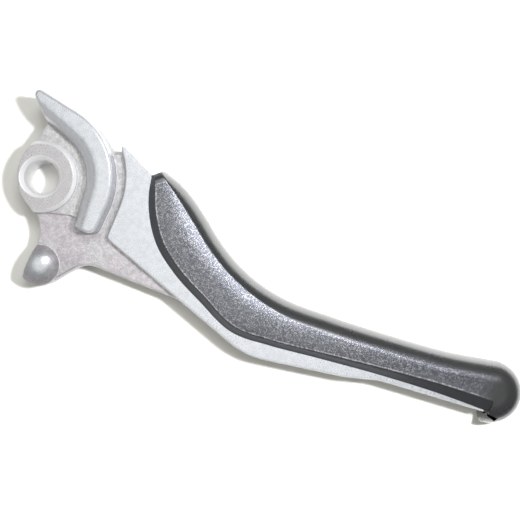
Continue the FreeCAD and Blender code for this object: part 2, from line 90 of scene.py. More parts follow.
class CastingSettings(bpy.types.PropertyGroup):
    """Finishes of the bare casting."""

    bright: FloatVectorProperty(
        name="Bright metal", description="Tumbled faces of the plate, guard and strip",
        subtype="COLOR", size=4, min=0, max=1, default=(0.53, 0.55, 0.60, 1))
    skin: FloatVectorProperty(
        name="Cast skin", description="Webs, walls and underside as they leave the die",
        subtype="COLOR", size=4, min=0, max=1, default=(0.58, 0.575, 0.60, 1))
    stain: FloatVectorProperty(
        name="Stain", description="Warm stains on the cast skin",
        subtype="COLOR", size=4, min=0, max=1, default=(0.525, 0.48, 0.54, 1))
    # Painted light: lightens edges as wear with a painted highlight, slopes as painted light, and the pivot
    # bore as painted light on its machined face.
    wear_and_highlight: FloatVectorProperty(
        name="Worn metal", description="Edges, slopes and the pivot bore, rubbed white",
        subtype="COLOR", size=4, min=0, max=1, default=(0.92, 0.92, 0.93, 1))
    turned: FloatVectorProperty(
        name="Turned face", description="Boss round the pivot bore",
        subtype="COLOR", size=4, min=0, max=1, default=(0.43, 0.42, 0.445, 1))
    pits: FloatVectorProperty(
        name="Pits", description="Fine pits and dull patches",
        subtype="COLOR", size=4, min=0, max=1, default=(0.22, 0.22, 0.24, 1))
    bright_from: FloatProperty(
        name="Bright from", description="Height above the pivot's middle where tumbling reaches",
        subtype="DISTANCE", unit="LENGTH", default=0.0046)
    stain_from: FloatProperty(
        name="Stain from", description="Side of the pivot where the stains start",
        subtype="DISTANCE", unit="LENGTH", default=-0.0055)
    bore_radius: FloatProperty(
        name="Bore radius", description="Mouth of the pivot bore",
        subtype="DISTANCE", unit="LENGTH", default=0.0060)
    boss_radius: FloatProperty(
        name="Boss radius", description="Faced and turned round the pivot bore",
        subtype="DISTANCE", unit="LENGTH", default=0.0096)
    nose_from: FloatProperty(
        name="Nose from", description="Side of the pivot where the nose's polish starts",
        subtype="DISTANCE", unit="LENGTH", default=-0.0165)
    nose_to: FloatProperty(
        name="Nose to", description="How far along the blade the nose's polish is whole",
        subtype="DISTANCE", unit="LENGTH", default=0.018)
    edge_round: FloatProperty(
        name="Edge round", description="Rounding of the casting's edges",
        subtype="DISTANCE", unit="LENGTH", default=0.0005)


class CoverSettings(bpy.types.PropertyGroup):
    """Sizes and finishes of the moulded cover."""

    face_level: FloatProperty(
        name="Face level", description="Face above the pivot's middle",
        subtype="DISTANCE", unit="LENGTH", default=0.0070)
    floor_level: FloatProperty(
        name="Floor level", description="Underside above the pivot's middle",
        subtype="DISTANCE", unit="LENGTH", default=PAPER_LEVEL)
    slot_top: FloatProperty(
        name="Slot top", description="Top of the slot for the blade's core",
        subtype="DISTANCE", unit="LENGTH", default=0.00505)
    slot_floor: FloatProperty(
        name="Slot floor", description="Floor of the slot for the blade's core",
        subtype="DISTANCE", unit="LENGTH", default=-0.00355)
    wall: FloatProperty(
        name="Wall", description="Wall between the slot and the finger side",
        subtype="DISTANCE", unit="LENGTH", default=0.00295)
    crown: FloatProperty(
        name="Crown", description="Radius of the face across the blade",
        subtype="DISTANCE", unit="LENGTH", default=0.022)
    ball_radius: FloatProperty(
        name="Ball radius", description="Ball end in plan",
        subtype="DISTANCE", unit="LENGTH", default=0.0093)
    ball_x: FloatProperty(
        name="Ball x", description="Centre of the ball end along the blade",
        subtype="DISTANCE", unit="LENGTH", default=0.1452)
    ball_y: FloatProperty(
        name="Ball y", description="Centre of the ball end across the blade",
        subtype="DISTANCE", unit="LENGTH", default=-0.0015)
    ball_heading: FloatProperty(
        name="Ball heading", description="Heading of the cross-section at the ball end",
        subtype="ANGLE", unit="ROTATION", default=math.radians(98.3))
    shoulder_reach: FloatProperty(
        name="Shoulder reach", description="Bar side from the ball's centre",
        subtype="DISTANCE", unit="LENGTH", default=0.0054)
    shoulder_bevel: FloatProperty(
        name="Shoulder bevel", description="Bevel of the bar side at the ball end",
        subtype="DISTANCE", unit="LENGTH", default=0.0034)
    window_x: FloatProperty(
        name="Window x", description="Pointed end of the three-cornered window, along the blade",
        subtype="DISTANCE", unit="LENGTH", default=0.1437)
    window_y: FloatProperty(
        name="Window y", description="Upper side of the window, across the blade",
        subtype="DISTANCE", unit="LENGTH", default=-0.0075)
    window_length: FloatProperty(
        name="Window length", description="Window from its point to its wide end",
        subtype="DISTANCE", unit="LENGTH", default=0.0055)
    window_width: FloatProperty(
        name="Window width", description="Window at its wide end",
        subtype="DISTANCE", unit="LENGTH", default=0.0013)
    crease: FloatProperty(
        name="Crease", description="Half width of the softened edges",
        subtype="DISTANCE", unit="LENGTH", default=0.00022)
    tip: FloatProperty(
        name="Tip", description="Length of the rounded start of the cover",
        subtype="DISTANCE", unit="LENGTH", default=0.0030)
    grain_colour: FloatVectorProperty(
        name="Grain", description="Grained face",
        subtype="COLOR", size=4, min=0, max=1, default=(0.078, 0.084, 0.106, 1))
    spark_colour: FloatVectorProperty(
        name="Grain tops", description="Light tops of the grain",
        subtype="COLOR", size=4, min=0, max=1, default=(0.31, 0.315, 0.345, 1))
    border_colour: FloatVectorProperty(
        name="Border", description="Bevelled border along the bar side",
        subtype="COLOR", size=4, min=0, max=1, default=(0.148, 0.153, 0.172, 1))
    # Painted highlight: the light line between the border and the face.
    rim_highlight_colour: FloatVectorProperty(
        name="Rim", description="Worn line between the border and the face",
        subtype="COLOR", size=4, min=0, max=1, default=(0.62, 0.62, 0.65, 1))
    # Painted reflection: the finger side is lighter where it stands upright.
    flank_reflection_colour: FloatVectorProperty(
        name="Flank", description="Polished finger side, where it stands upright",
        subtype="COLOR", size=4, min=0, max=1, default=(0.27, 0.27, 0.27, 1))
    smooth_colour: FloatVectorProperty(
        name="Smooth", description="Shoulder of the finger side and ball end",
        subtype="COLOR", size=4, min=0, max=1, default=(0.17, 0.174, 0.182, 1))


class StageSettings(bpy.types.PropertyGroup):
    """Paper, camera and lights."""

    paper: FloatVectorProperty(
        name="Paper", description="Paper that the lever lies on",
        subtype="COLOR", size=4, min=0, max=1, default=(0.90, 0.90, 0.885, 1))
    tooth: FloatVectorProperty(
        name="Tooth", description="Faint darker tooth of the paper",
        subtype="COLOR", size=4, min=0, max=1, default=(0.6, 0.6, 0.58, 1))
    camera_x: FloatProperty(
        name="Camera x", description="Point under the lens, along the blade",
        subtype="DISTANCE", unit="LENGTH", default=0.0677)
    camera_y: FloatProperty(
        name="Camera y", description="Point under the lens, across the blade",
        subtype="DISTANCE", unit="LENGTH", default=0.0050)
    camera_height: FloatProperty(
        name="Camera height", description="Lens above the paper",
        subtype="DISTANCE", unit="LENGTH", default=0.215)
    camera_turn: FloatProperty(
        name="Camera turn", description="Turn of the camera about the line of sight",
        subtype="ANGLE", unit="ROTATION", default=math.radians(25.0))
    camera_field: FloatProperty(
        name="Camera field", description="Angle of view across the picture",
        subtype="ANGLE", unit="ROTATION", default=math.radians(40.4))
    lamp_right: FloatProperty(
        name="Lamp right", description="Lamp to the right of the lens",
        subtype="DISTANCE", unit="LENGTH", default=0.092)
    lamp_up: FloatProperty(
        name="Lamp up", description="Lamp above the lens in the picture",
        subtype="DISTANCE", unit="LENGTH", default=0.025)
    lamp_size: FloatProperty(
        name="Lamp size", description="Width of the lamp",
        subtype="DISTANCE", unit="LENGTH", default=0.03)
    lamp_power: FloatProperty(
        name="Lamp power", description="Power of the lamp", unit="POWER", default=0.95)
    soft_height: FloatProperty(
        name="Soft light height", description="Card and soft box above the paper",
        subtype="DISTANCE", unit="LENGTH", default=0.5)
    card_right: FloatProperty(
        name="Card right", description="Card to the right of the lens",
        subtype="DISTANCE", unit="LENGTH", default=0.110)
    card_up: FloatProperty(
        name="Card up", description="Card above the lens in the picture",
        subtype="DISTANCE", unit="LENGTH", default=0.175)
    card_size: FloatProperty(
        name="Card size", description="Width of the card",
        subtype="DISTANCE", unit="LENGTH", default=0.22)
    card_power: FloatProperty(
        name="Card power", description="Power of the card, which lights the face's finger edge",
        unit="POWER", default=1.00)
    box_left: FloatProperty(
        name="Soft box left", description="Soft box to the left of the lens",
        subtype="DISTANCE", unit="LENGTH", default=0.09)
    box_up: FloatProperty(
        name="Soft box up", description="Soft box above the lens in the picture",
        subtype="DISTANCE", unit="LENGTH", default=0.01)
    box_size: FloatProperty(
        name="Soft box size", description="Width of the soft box",
        subtype="DISTANCE", unit="LENGTH", default=0.56)
    box_power: FloatProperty(
        name="Soft box power", description="Power of the soft box", unit="POWER", default=0.89)
    box_colour: FloatVectorProperty(
        name="Soft box colour", description="Warm white of the soft box and the room",
        subtype="COLOR", size=4, min=0, max=1, default=(1.0, 0.995, 0.91, 1))
    room_dark: FloatProperty(
        name="Room, dark side", description="Light from the right of the picture", default=0.05)
    room_light: FloatProperty(
        name="Room, light side", description="Light from the left of the picture", default=0.30)


def add(tree, kind, sockets=None, **settings):
    """Add a node. Sockets maps its inputs to plain values or to other nodes' outputs."""
    made = tree.nodes.new(kind)
    for name, value in settings.items():
        setattr(made, name, value)
    for name, value in (sockets or {}).items():
        if isinstance(value, bpy.types.NodeSocket):
            tree.links.new(value, made.inputs[name])
        else:
            made.inputs[name].default_value = value
    return made


def maths(tree, operation, *values):
    """The result of a Math node on up to three values."""
    return add(tree, "ShaderNodeMath", dict(enumerate(values)), operation=operation).outputs[0]


def rise(tree, value, low, high):
    """A smooth step from 0 at low to 1 at high, where high may be the lesser of the two."""
    made = add(tree, "ShaderNodeMapRange", {"Value": value, "From Min": low, "From Max": high},
               interpolation_type="SMOOTHSTEP")
    return made.outputs["Result"]


def blend(tree, factor, first, second):
    """Mix two colours."""
    return add(tree, "ShaderNodeMix", {0: factor, 6: first, 7: second}, data_type="RGBA").outputs[2]


def between(tree, factor, first, second):
    """Mix two plain values."""
    return add(tree, "ShaderNodeMix", {0: factor, 2: first, 3: second}, data_type="FLOAT").outputs[0]


# The noise at which speckle and clouds start and are whole, and the cells' share of the grain's height.
SPECKLE_NOISE = (0.35, 0.68)
CLOUD_NOISE = (0.3, 0.7)
CELL_HEIGHT = 0.6


def grain_group():
    """A shared grain: fine speckle on slow clouds, with its height for a bump."""
    group = bpy.data.node_groups.new("Fine grain", "ShaderNodeTree")
    given_kinds = {"Place": "NodeSocketVector", "Fine": "NodeSocketFloat", "Cloud": "NodeSocketFloat"}
    for name, kind in given_kinds.items():
        group.interface.new_socket(name, in_out="INPUT", socket_type=kind)
    for name in ("Speckle", "Cloud", "Height"):
        group.interface.new_socket(name, in_out="OUTPUT", socket_type="NodeSocketFloat")
    given = group.nodes.new("NodeGroupInput").outputs
    result = group.nodes.new("NodeGroupOutput").inputs
    place, scale = given["Place"], given["Fine"]
    fine = add(group, "ShaderNodeTexNoise",
               {"Vector": place, "Scale": scale, "Detail": 2.0, "Roughness": 0.65})
    cells = add(group, "ShaderNodeTexVoronoi", {"Vector": place, "Scale": scale})
    cloud = add(group, "ShaderNodeTexNoise", {"Vector": place, "Scale": given["Cloud"], "Detail": 4.0})
    speckle = rise(group, fine.outputs["Fac"], *SPECKLE_NOISE)
    tops = maths(group, "SUBTRACT", 1.0, cells.outputs["Distance"])
    group.links.new(speckle, result["Speckle"])
    group.links.new(rise(group, cloud.outputs["Fac"], *CLOUD_NOISE), result["Cloud"])
    group.links.new(maths(group, "MULTIPLY_ADD", tops, CELL_HEIGHT, speckle), result["Height"])
    return group


def new_material(name):
    """An empty node material with its shader and its object coordinates."""
    made = bpy.data.materials.new(name)
    made.use_nodes = True
    tree = made.node_tree
    shader = next(node for node in tree.nodes if node.type == "BSDF_PRINCIPLED")
    place = tree.nodes.new("ShaderNodeTexCoord").outputs["Object"]
    return made, tree, shader, place


def use_grain(tree, place, fine, cloud):
    """Place the shared grain with its own scales, in pieces to the metre."""
    return add(tree, "ShaderNodeGroup", {"Place": place, "Fine": fine, "Cloud": cloud},
               node_tree=bpy.data.node_groups["Fine grain"]).outputs


# Scales in pieces to the metre: the wide clouds and coarse grain that materials share, then the casting's.
WIDE_CLOUDS = 60.0
COARSE_GRAIN = 1500.0
CAST_GRAIN = 2300.0
CAST_CLOUDS = 170.0
CAST_PATCHES = 640.0

# Widths over which the casting's finishes fade, and how far past the boss's face its chamfer ends.
BORE_FADE = 0.2 * MM
BOSS_FADE = 0.3 * MM
BOSS_CHAMFER = 1.0 * MM
CHAMFER_FADE = 0.4 * MM
BRIGHT_FADE = 0.6 * MM
STAIN_FADE = 3.0 * MM
NOSE_FADE = 2.0 * MM


def casting_zones(tree, place, look):
    """The distance from the pivot's axis, and masks from 0 to 1 that lay out the casting's finishes."""
    axes = add(tree, "ShaderNodeSeparateXYZ", {"Vector": place}).outputs
    squares = [maths(tree, "MULTIPLY", axes[name], axes[name]) for name in ("X", "Y")]
    radius = maths(tree, "SQRT", maths(tree, "ADD", *squares))
    outside_bore = rise(tree, radius, look.bore_radius, look.bore_radius + BORE_FADE)
    past_face = rise(tree, radius, look.boss_radius, look.boss_radius + BOSS_FADE)
    boss_foot = look.boss_radius + BOSS_CHAMFER
    nose_across = rise(tree, axes["Y"], look.nose_from, look.nose_from - NOSE_FADE)
    nose_along = rise(tree, axes["X"], look.nose_to + 2 * NOSE_FADE, look.nose_to)
    return {
        "radius": radius,
        "outside_bore": outside_bore,
        "on_boss": maths(tree, "SUBTRACT", outside_bore, past_face),
        "off_boss": rise(tree, radius, boss_foot, boss_foot + CHAMFER_FADE),
        "on_nose": maths(tree, "MULTIPLY", nose_across, nose_along),
        "bright": rise(tree, axes["Z"], look.bright_from - BRIGHT_FADE, look.bright_from),
        "stained": rise(tree, axes["Y"], look.stain_from, look.stain_from - STAIN_FADE),
    }


# Cosine of the softened edge's turn from lightened to whole, and the upward part of the normal where a
# slope's mask rises and falls. Slopes are lightened by these shares on the boss and off it, as painted
# light.
EDGE_BEND = (0.80, 0.995)
SLOPE_RISE = (0.20, 0.50)
SLOPE_FALL = (0.86, 0.97)
SLOPE_LIGHTENING = (0.65, 0.25)


def casting_wear_and_light(tree, look, zones):
    """The normal with softened edges, and a mask of what is made lighter: edges, worn and with a painted
    highlight, and slopes, with painted light.

    The slopes of the nose are left out, because the nose is polished.
    """
    soft = add(tree, "ShaderNodeBevel", {"Radius": look.edge_round}, samples=4).outputs["Normal"]
    flat = add(tree, "ShaderNodeNewGeometry").outputs["Normal"]
    bend = add(tree, "ShaderNodeVectorMath", {0: soft, 1: flat}, operation="DOT_PRODUCT").outputs["Value"]
    edge = maths(tree, "SUBTRACT", 1.0, rise(tree, bend, *EDGE_BEND))
    upright = add(tree, "ShaderNodeSeparateXYZ", {"Vector": flat}).outputs["Z"]
    slope = maths(tree, "SUBTRACT", rise(tree, upright, *SLOPE_RISE), rise(tree, upright, *SLOPE_FALL))
    slope_light = between(tree, zones["on_nose"], between(tree, zones["off_boss"], *SLOPE_LIGHTENING), 0.0)
    return soft, maths(tree, "MAXIMUM", edge, maths(tree, "MULTIPLY", slope, slope_light))


# Pairs, for the cast skin and for the bright metal: shares of the dull patches and of the pits, roughness
# and strength of the bump. Then the bump's depth, and what the pits add to the roughness.
PATCH_SHARE = (0.34, 0.17)
PIT_SHARE = (0.42, 0.16)
CAST_ROUGHNESS = (0.40, 0.26)
CAST_BUMP = (0.5, 0.14)
CAST_RELIEF = 0.04 * MM
PIT_ROUGHNESS = 0.10

# How metallic the casting is, off the nose and on it, and what the lightening makes of it: wear with a
# painted highlight on the edges, painted light on the slopes and in the machined bore.
CAST_METALLIC = (0.62, 0.74)
WORN_METALLIC = 0.35
WORN_ROUGHNESS = 0.5
EDGE_WEAR_AND_HIGHLIGHT = 0.8
BORE_LIGHTENING = 0.6

# Turning marks on the boss, in radians to the metre, and their height beside the grain's.
TURNING_MARKS = 18000.0
TURNING_HEIGHT = 0.25


def casting_material(look):
    """Bare cast metal: bright where it was tumbled, grey and stained in the webs, turned on the boss."""
    made, tree, shader, place = new_material("Cast alloy")
    grain = use_grain(tree, place, CAST_GRAIN, CAST_CLOUDS)
    patch = use_grain(tree, place, CAST_PATCHES, WIDE_CLOUDS)["Speckle"]
    zones = casting_zones(tree, place, look)
    bright, on_boss = zones["bright"], zones["on_boss"]
    soft_edge, edge = casting_wear_and_light(tree, look, zones)

    stained = maths(tree, "MULTIPLY", grain["Cloud"], zones["stained"])
    metal = blend(tree, bright, blend(tree, stained, look.skin, look.stain), look.bright)
    metal = blend(tree, on_boss, metal, look.turned)
    for specks, share in ((patch, PATCH_SHARE), (grain["Speckle"], PIT_SHARE)):
        dull = maths(tree, "MULTIPLY", specks, between(tree, bright, *share))
        metal = blend(tree, dull, metal, look.pits)
    # Edges are lightened as wear with a painted highlight, slopes and the bore as painted light.
    bore_light = maths(tree, "MULTIPLY_ADD", zones["outside_bore"], -BORE_LIGHTENING, BORE_LIGHTENING)
    rubbed_and_lit = maths(tree, "MAXIMUM", maths(tree, "MULTIPLY", edge, EDGE_WEAR_AND_HIGHLIGHT), bore_light)
    tree.links.new(blend(tree, rubbed_and_lit, metal, look.wear_and_highlight), shader.inputs["Base Color"])

    smoothest = between(tree, bright, *CAST_ROUGHNESS)
    rough = maths(tree, "MULTIPLY_ADD", grain["Speckle"], PIT_ROUGHNESS, smoothest)
    tree.links.new(between(tree, rubbed_and_lit, rough, WORN_ROUGHNESS), shader.inputs["Roughness"])
    metallic = between(tree, zones["on_nose"], *CAST_METALLIC)
    tree.links.new(between(tree, edge, metallic, WORN_METALLIC), shader.inputs["Metallic"])
    marks = maths(tree, "SINE", maths(tree, "MULTIPLY", zones["radius"], TURNING_MARKS))
    turning = maths(tree, "MULTIPLY", marks, on_boss)
    height = maths(tree, "MULTIPLY_ADD", turning, TURNING_HEIGHT, grain["Height"])
    strength = between(tree, bright, *CAST_BUMP)
    bump = add(tree, "ShaderNodeBump",
               {"Strength": strength, "Distance": CAST_RELIEF, "Height": height, "Normal": soft_edge})
    tree.links.new(bump.outputs["Normal"], shader.inputs["Normal"])
    return made


# Scales of the cover's grain in pieces to the metre, and its bump.
COVER_GRAIN = 3600.0
COVER_CLOUDS = 140.0
COVER_BUMP = 0.5
COVER_RELIEF = 0.020 * MM

# Margins, in millimetres inside the face's edge, where grain, border and the rim's painted highlight start
# or stop.
GRAIN_START = (0.0, 0.15)
BORDER_START = (-1.5, -2.5)
RIM_START = (0.15, 0.25)
RIM_STOP = (0.50, 0.65)

# The coarse grain's factor and what is added to it, for the rim's painted highlight and for the light tops
# of the fine grain, which have a power of their own too.
RIM_HIGHLIGHT_PATCHES = (0.7, 0.15)
SPARK_SHARE = (1.2, 0.4)
SPARK_POWER = 1.3

# Upward part of the normal from which the finger side takes its lighter colour, a painted reflection, and
# where it has it fully.
FLANK_REFLECTION_START = (0.90, 0.20)

# How metallic the smooth parts and the grained face are, and how rough the parts are. The roughness of the
# smooth parts is a factor for the clouds and what is added to it.
COVER_METALLIC = (0.9, 0.75)
SCUFF_ROUGHNESS = (0.02, 0.27)
BORDER_ROUGHNESS = 0.38
FACE_ROUGHNESS = 0.25


def cover_material(look):
    """Dark moulding: a sparkling grain with a painted highlight along its rim on the face, smooth and
    glossy outside it, with a painted reflection lightening the finger side.
    """
    made, tree, shader, place = new_material("Grip moulding")
    grain = use_grain(tree, place, COVER_GRAIN, COVER_CLOUDS)
    coarse = use_grain(tree, place, COARSE_GRAIN, WIDE_CLOUDS)["Speckle"]
    margin = add(tree, "ShaderNodeAttribute", attribute_name="face_margin").outputs["Fac"]
    share = add(tree, "ShaderNodeAttribute", attribute_name="face_grain").outputs["Fac"]
    normal = add(tree, "ShaderNodeNewGeometry").outputs["Normal"]
    upright = add(tree, "ShaderNodeSeparateXYZ", {"Vector": normal}).outputs["Z"]

    grained = maths(tree, "MULTIPLY", rise(tree, margin, *GRAIN_START), share)
    border = rise(tree, margin, *BORDER_START)
    # The rim is a painted highlight along the face's edge, made patchy by the coarse grain.
    rim = maths(tree, "SUBTRACT", rise(tree, margin, *RIM_START), rise(tree, margin, *RIM_STOP))
    patchy = maths(tree, "MULTIPLY_ADD", coarse, *RIM_HIGHLIGHT_PATCHES)
    wear_and_highlight = maths(tree, "MULTIPLY", maths(tree, "MULTIPLY", rim, share), patchy)
    uneven = maths(tree, "MULTIPLY_ADD", coarse, *SPARK_SHARE)
    spark = maths(tree, "MULTIPLY", maths(tree, "POWER", grain["Speckle"], SPARK_POWER), uneven)
    face = blend(tree, spark, look.grain_colour, look.spark_colour)
    # The finger side is lighter where it stands upright: a painted reflection.
    side = blend(tree, rise(tree, upright, *FLANK_REFLECTION_START), look.smooth_colour, look.flank_reflection_colour)
    smooth = blend(tree, border, side, look.border_colour)
    finish = blend(tree, wear_and_highlight, blend(tree, grained, smooth, face), look.rim_highlight_colour)
    tree.links.new(finish, shader.inputs["Base Color"])

    tree.links.new(between(tree, grained, *COVER_METALLIC), shader.inputs["Metallic"])
    scuff = maths(tree, "MULTIPLY_ADD", grain["Cloud"], *SCUFF_ROUGHNESS)
    rough = between(tree, grained, between(tree, border, scuff, BORDER_ROUGHNESS), FACE_ROUGHNESS)
    tree.links.new(rough, shader.inputs["Roughness"])
    height = maths(tree, "MULTIPLY", grain["Height"], grained)
    bump = add(tree, "ShaderNodeBump", {"Strength": COVER_BUMP, "Distance": COVER_RELIEF, "Height": height})
    tree.links.new(bump.outputs["Normal"], shader.inputs["Normal"])
    return made


# The tooth's share of the paper's colour, and the paper's finish.
TOOTH_SHARE = 0.03
PAPER_ROUGHNESS = 0.9
PAPER_GLOSS = 0.2


def paper_material(look):
    """Plain white paper with a faint tooth."""
    made, tree, shader, place = new_material("Paper")
    speckle = use_grain(tree, place, COARSE_GRAIN, WIDE_CLOUDS)["Speckle"]
    shade = maths(tree, "MULTIPLY", speckle, TOOTH_SHARE)
    tree.links.new(blend(tree, shade, look.paper, look.tooth), shader.inputs["Base Color"])
    shader.inputs["Roughness"].default_value = PAPER_ROUGHNESS
    shader.inputs["Specular IOR Level"].default_value = PAPER_GLOSS
    return made


# The crown fades out over this share of the ball's distance from the pivot, and is gone this part of the
# fade before the ball.
CROWN_FADE = 0.25
CROWN_GONE = 0.1

# Even places across each part of the cover's outline.
BEVEL_PLACES = 4
FACE_PLACES = 26
FINGER_PLACES = 34
UNDER_PLACES = 16

# Sections along the rounded start and along the rest of the blade, and steps of the ball's half turn.
TIP_SECTIONS = 8
BLADE_SECTIONS = 200
BALL_STEPS = 60

# The start's rounding takes this share of the wall above and below the slot, and the slot at least this
# share of the width. The slot's points lie at these shares of its depth, from its floor to its top. The
# finger side's rough radius turns the softened edges' width into an angle.
TIP_DROOP = 0.75
LEAST_SLOT = 0.3
SLOT_DEPTHS = (0.5, 1.0, 1.0, 1.0, 0.5)
FINGER_RADIUS = 6.0 * MM


def curve_through(values, at):
    """Cubic curves through the rows of values, each row's slope weighed from the steps to its neighbours.

    The run along the curve is the distance from section to section, and at gives the wanted runs.
    """
    run = np.concatenate([[0.0], np.cumsum(np.hypot(*np.diff(values[:, :2], axis=0).T))])
    slope = np.gradient(values, run, axis=0)
    left = np.clip(np.searchsorted(run, at, side="right") - 1, 0, len(run) - 2)
    span = (run[left + 1] - run[left])[:, None]
    share = (at - run[left])[:, None] / span
    rest = 1 - share
    near = rest ** 2 * ((1 + 2 * share) * values[left] + share * span * slope[left])
    far = share ** 2 * ((1 + 2 * rest) * values[left + 1] - rest * span * slope[left + 1])
    return near + far


def spread(start, stop, count, margin):
    """Places from start to stop for every section: both ends, a margin inside each, even steps between."""
    way = np.sign(stop - start) * margin
    share = np.linspace(0.0, 1.0, count)
    return np.hstack([start, start + way + (stop - start - 2 * way) * share, stop])


def section_rows(look):
    """The cover's sections as rows, the ball end last.

    A row holds the finger point's X and Y, width, heading, rounding, bevel and the face's curvature.
    """
    rows = np.array(SECTIONS)
    rows[:, 0] = np.cumsum(rows[:, 0])
    crowned = np.clip((look.ball_x - rows[:, [0]]) / (CROWN_FADE * look.ball_x) - CROWN_GONE, 0.0, 1.0)
    rows = np.hstack([rows, crowned / look.crown])
    finger_x = look.ball_x + look.ball_radius * math.cos(look.ball_heading)
    finger_y = look.ball_y + look.ball_radius * math.sin(look.ball_heading)
    width = look.ball_radius + look.shoulder_reach
    rounding = (look.face_level - look.floor_level) / 2
    heading = math.degrees(look.ball_heading)
    ball = [finger_x, finger_y, width, heading, rounding, look.shoulder_bevel, 0.0]
    return np.vstack([rows, ball])


def cover_profile(look, rows, run):
    """The closed outline of every section, as distances from the finger side and heights.

    In order: bevel of the bar side, crowned face (a parabola), finger side (an arc that stands out most at
    the middle height), underside, lower bevel and the slot's three walls. The start of the cover is rounded
    down over the tip's length. Also gives the columns of the face and of the underside.
    """
    _, _, width, _, rounding, bevel, crown = np.hsplit(rows, rows.shape[1])
    droop = TIP_DROOP * np.clip(1.0 - run / look.tip, 0.0, 1.0)[:, None] ** 2
    top = look.face_level - (look.face_level - look.slot_top) * droop
    floor = look.floor_level + (look.slot_floor - look.floor_level) * droop
    half, middle = (top - floor) / 2, (top + floor) / 2
    soft = look.crease

    bevel_in = spread(-width, bevel - width, BEVEL_PLACES, soft)
    bevel_up = look.slot_top + (top - look.slot_top) * (bevel_in + width) / bevel
    face_in = spread(bevel - width, -rounding, FACE_PLACES, soft)
    chord = (width - bevel - rounding) / 2
    face_up = top + crown / 2 * (chord ** 2 - (face_in - (bevel - width - rounding) / 2) ** 2)
    arc = (half ** 2 + rounding ** 2) / (2 * rounding)
    reach = np.arcsin(np.clip(half / arc, -1.0, 1.0))
    angle = spread(reach, -reach, FINGER_PLACES, soft / FINGER_RADIUS)
    finger_in, finger_up = arc * (np.cos(angle) - 1), middle + arc * np.sin(angle)
    under_in = spread(-rounding, bevel - width, UNDER_PLACES, soft)
    under_up = floor + 0 * under_in
    lower_in = spread(bevel - width, -width, BEVEL_PLACES, soft)
    lower_up = floor + (look.slot_floor - floor) * (bevel - width - lower_in) / bevel
    depth = np.maximum(width - look.wall, LEAST_SLOT * width)
    slot_in = depth * SLOT_DEPTHS - width
    slot_middle = (look.slot_floor + look.slot_top) / 2
    heights = [look.slot_floor, look.slot_floor, slot_middle, look.slot_top, look.slot_top]
    slot_up = np.zeros_like(slot_in) + heights

    runs_in = [bevel_in, face_in[:, 1:], finger_in[:, 1:], under_in[:, 1:], lower_in[:, 1:], slot_in]
    runs_up = [bevel_up, face_up[:, 1:], finger_up[:, 1:], under_up[:, 1:], lower_up[:, 1:], slot_up]
    ends = np.cumsum([part.shape[1] for part in runs_in])
    creases = ends[:4] - 1
    inward, upward = np.hstack(runs_in), np.hstack(runs_up)
    for outline in (inward, upward):
        beside = outline[:, creases - 1] + outline[:, creases + 1]
        outline[:, creases] = (beside + 2 * outline[:, creases]) / 4
    return inward, upward, slice(ends[0] - 1, ends[1]), slice(ends[2] - 1, ends[3])


# Layout of the cover's finish. The margin has set values on the bevel and beyond the face, and at the start
# it grows steeply behind a border of its own. The grain spills over the finger side by a width that grows
# from a share of the blade's length to twice that share, keeps above a share of the face's level, and fades
# before the ball end.
BEVEL_MARGIN = -3.0
SIDE_MARGIN = 1.0
TIP_BORDER = 4.0 * MM
TIP_STEEPNESS = 3.0
SPILL = 2.6 * MM
SPILL_FROM = 0.4
SPILL_FADE = 1.6 * MM
SPILL_LEVEL = 0.4
GRAIN_FADE = 5.0 * MM


def face_values(look, run, inward, upward, face):
    """Two values for every outline point that lay out the cover's finish.

    The margin is the distance inside the bevel's edge and from the tip, in millimetres, with a value of its
    own on the bevel and on the rest of the outline. The grain is 1 on the face; it fades towards the ball
    end, and over the finger side as far as the spill.
    """
    from_tip = (run[:, None] - TIP_BORDER) * TIP_STEEPNESS
    margin = np.minimum(inward - inward[:, [face.start]], from_tip) / MM
    margin[:, :face.start] = BEVEL_MARGIN
    margin[:, face.stop:] = SIDE_MARGIN
    spill_from = SPILL_FROM * run[-1]
    spill = SPILL * np.clip((run - spill_from) / spill_from, 0.0, 1.0)[:, None]
    past_face = inward - inward[:, [face.stop - 1]]
    grain = np.clip((spill - past_face) / SPILL_FADE, 0.0, 1.0) * (upward > SPILL_LEVEL * look.face_level)
    grain[:, face] = 1.0
    grain *= np.clip((run[-1] - run) / GRAIN_FADE, 0.0, 1.0)[:, None]
    return margin, grain


def cover_faces(place, rings, poles):
    """The cover's faces: skin of the blade, skin of the ball, fans round its poles, shoulder and start.

    Place numbers the outline points of every section, rings those of the ball at every step of its turn,
    and poles are the columns of the outline on the ball's axis.
    """
    after = np.roll(place, -1, axis=1)
    skin = np.stack([place[:-1], after[:-1], after[1:], place[1:]], axis=2).reshape(-1, 4)
    cap = np.stack([rings[:-1, :-1], rings[:-1, 1:], rings[1:, 1:], rings[1:, :-1]], axis=2).reshape(-1, 4)
    top, low = (np.full(len(rings) - 1, place[-1, pole]) for pole in poles)
    top_fan = np.stack([top, rings[:-1, 0], rings[1:, 0]], axis=1)
    low_fan = np.stack([low, rings[1:, -1], rings[:-1, -1]], axis=1)
    shoulder = [place[-1, poles[0]], *rings[-1], *place[-1, poles[1]:], *place[-1, :poles[0]]]
    start = place[0].tolist()
    return [*skin.tolist(), *cap.tolist(), *top_fan.tolist(), *low_fan.tolist(), shoulder, start]


